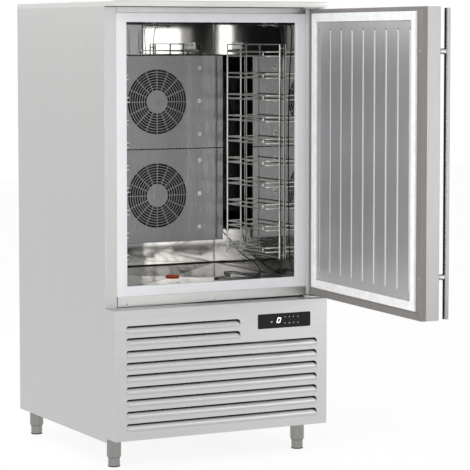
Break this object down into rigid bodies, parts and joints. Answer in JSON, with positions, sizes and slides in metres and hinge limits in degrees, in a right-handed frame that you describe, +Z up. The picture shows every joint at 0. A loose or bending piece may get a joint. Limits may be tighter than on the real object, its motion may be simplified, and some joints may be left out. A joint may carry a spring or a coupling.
{
  "type": "blast chiller",
  "caption": "Upright stainless blast chiller: insulated chamber with wire tray racks, twin fan evaporator, hinged ribbed door with full height bar handle and louvred machine compartment.",
  "frame": {"origin": "middle of the base of the object's box at rest, with the door open, on the floor under the feet", "axes": "+Z up, +Y towards the cabinet's back, +X to the right seen from the front; the door hangs on the right"},
  "size_m": [0.8249, 1.5759, 1.55],
  "materials": {
    "satin_steel": "satin brushed stainless sheet",
    "bright_steel": "bright annealed stainless sheet and wire",
    "cover_steel": "dark satin stainless sheet",
    "door_liner_steel": "dark satin pressed stainless sheet",
    "breaker_plastic": "smooth light grey extrusion",
    "door_frame_plastic": "smooth mid grey extrusion",
    "gasket_rubber": "soft pale grey magnetic seal",
    "foam": "open sawn rigid foam",
    "control_glass": "black gloss touch panel",
    "black_plastic": "moulded",
    "black_enamel": "semi gloss black paint",
    "fin_aluminium": "pressed fins",
    "galvanised": "galvanised sheet",
    "copper_tube": "drawn copper tube",
    "red_rubber": "moulded orange red rubber",
    "cable_black": "smooth black jacket"
  },
  "bodies": {
    "cabinet": {"left_side_panel": "satin_steel", "right_side_panel": "satin_steel", "top_cap": "satin_steel", "front_frame": "satin_steel", "louvre_panel": "satin_steel", "lower_hinge": "satin_steel", "upper_hinge": "satin_steel", "chamber_left_wall": "bright_steel", "chamber_right_wall": "bright_steel", "chamber_back_wall": "bright_steel", "chamber_ceiling": "bright_steel", "chamber_floor": "bright_steel", "left_rack": "bright_steel", "right_rack": "bright_steel", "food_probe": "bright_steel", "probe_clip": "bright_steel", "front_left_leg": "bright_steel", "front_right_leg": "bright_steel", "rear_left_leg": "bright_steel", "rear_right_leg": "bright_steel", "evaporator_cover_lower": "cover_steel", "evaporator_cover_upper": "cover_steel", "breaker_frame": "breaker_plastic", "foam_left": "foam", "foam_right": "foam", "foam_back": "foam", "foam_top": "foam", "foam_bottom": "foam", "control_panel": "control_glass", "control_box": "black_plastic", "drain_fitting": "black_plastic", "cable_gland": "black_plastic", "evaporator_housing": "black_enamel", "evaporator_fan_motors": "black_enamel", "compressor": "black_enamel", "liquid_receiver": "black_enamel", "condenser_fan_motor": "black_enamel", "evaporator_coil": "fin_aluminium", "condenser_coil": "fin_aluminium", "back_panel": "galvanised", "base_tray": "galvanised", "condenser_fan_shroud": "galvanised", "discharge_pipe": "copper_tube", "probe_cable": "cable_black"},
    "door": {"door_skin": "satin_steel", "door_foam": "foam", "door_liner": "door_liner_steel", "door_edge_frame": "door_frame_plastic", "door_gasket": "gasket_rubber", "door_handle": "bright_steel", "lower_handle_post": "satin_steel", "upper_handle_post": "satin_steel"},
    "upper_evaporator_rotor": {"upper_evaporator_fan": "black_plastic"},
    "lower_evaporator_rotor": {"lower_evaporator_fan": "black_plastic"},
    "condenser_rotor": {"condenser_fan": "black_plastic"},
    "drain_plug": {"drain_plug": "red_rubber"},
    "front_left_foot": {"front_left_foot": "bright_steel"},
    "front_right_foot": {"front_right_foot": "bright_steel"},
    "rear_left_foot": {"rear_left_foot": "bright_steel"},
    "rear_right_foot": {"rear_right_foot": "bright_steel"}
  },
  "joints": [
    {"name": "door_hinge", "type": "hinge", "parent": "cabinet", "child": "door", "pos_m": [0.372, -0.0025, 1.035], "axis": [0, 0, 1], "range_deg": [-86.3, 23.7]},
    {"name": "upper_evaporator_fan_spin", "type": "hinge", "parent": "cabinet", "child": "upper_evaporator_rotor", "pos_m": [-0.0125, 0.496, 1.202], "axis": [0, 1, 0], "continuous": true},
    {"name": "lower_evaporator_fan_spin", "type": "hinge", "parent": "cabinet", "child": "lower_evaporator_rotor", "pos_m": [-0.0125, 0.496, 0.87], "axis": [0, 1, 0], "continuous": true},
    {"name": "condenser_fan_spin", "type": "hinge", "parent": "cabinet", "child": "condenser_rotor", "pos_m": [-0.1725, 0.053, 0.298], "axis": [0, 1, 0], "continuous": true},
    {"name": "drain_plug_lift", "type": "slide", "parent": "cabinet", "child": "drain_plug", "axis": [0, 0, 1], "range_m": [0, 0.06]},
    {"name": "front_left_foot_screw", "type": "slide", "parent": "cabinet", "child": "front_left_foot", "axis": [0, 0, -1], "range_m": [0, 0.04]},
    {"name": "front_right_foot_screw", "type": "slide", "parent": "cabinet", "child": "front_right_foot", "axis": [0, 0, -1], "range_m": [0, 0.04]},
    {"name": "rear_left_foot_screw", "type": "slide", "parent": "cabinet", "child": "rear_left_foot", "axis": [0, 0, -1], "range_m": [0, 0.04]},
    {"name": "rear_right_foot_screw", "type": "slide", "parent": "cabinet", "child": "rear_right_foot", "axis": [0, 0, -1], "range_m": [0, 0.04]}
  ]
}
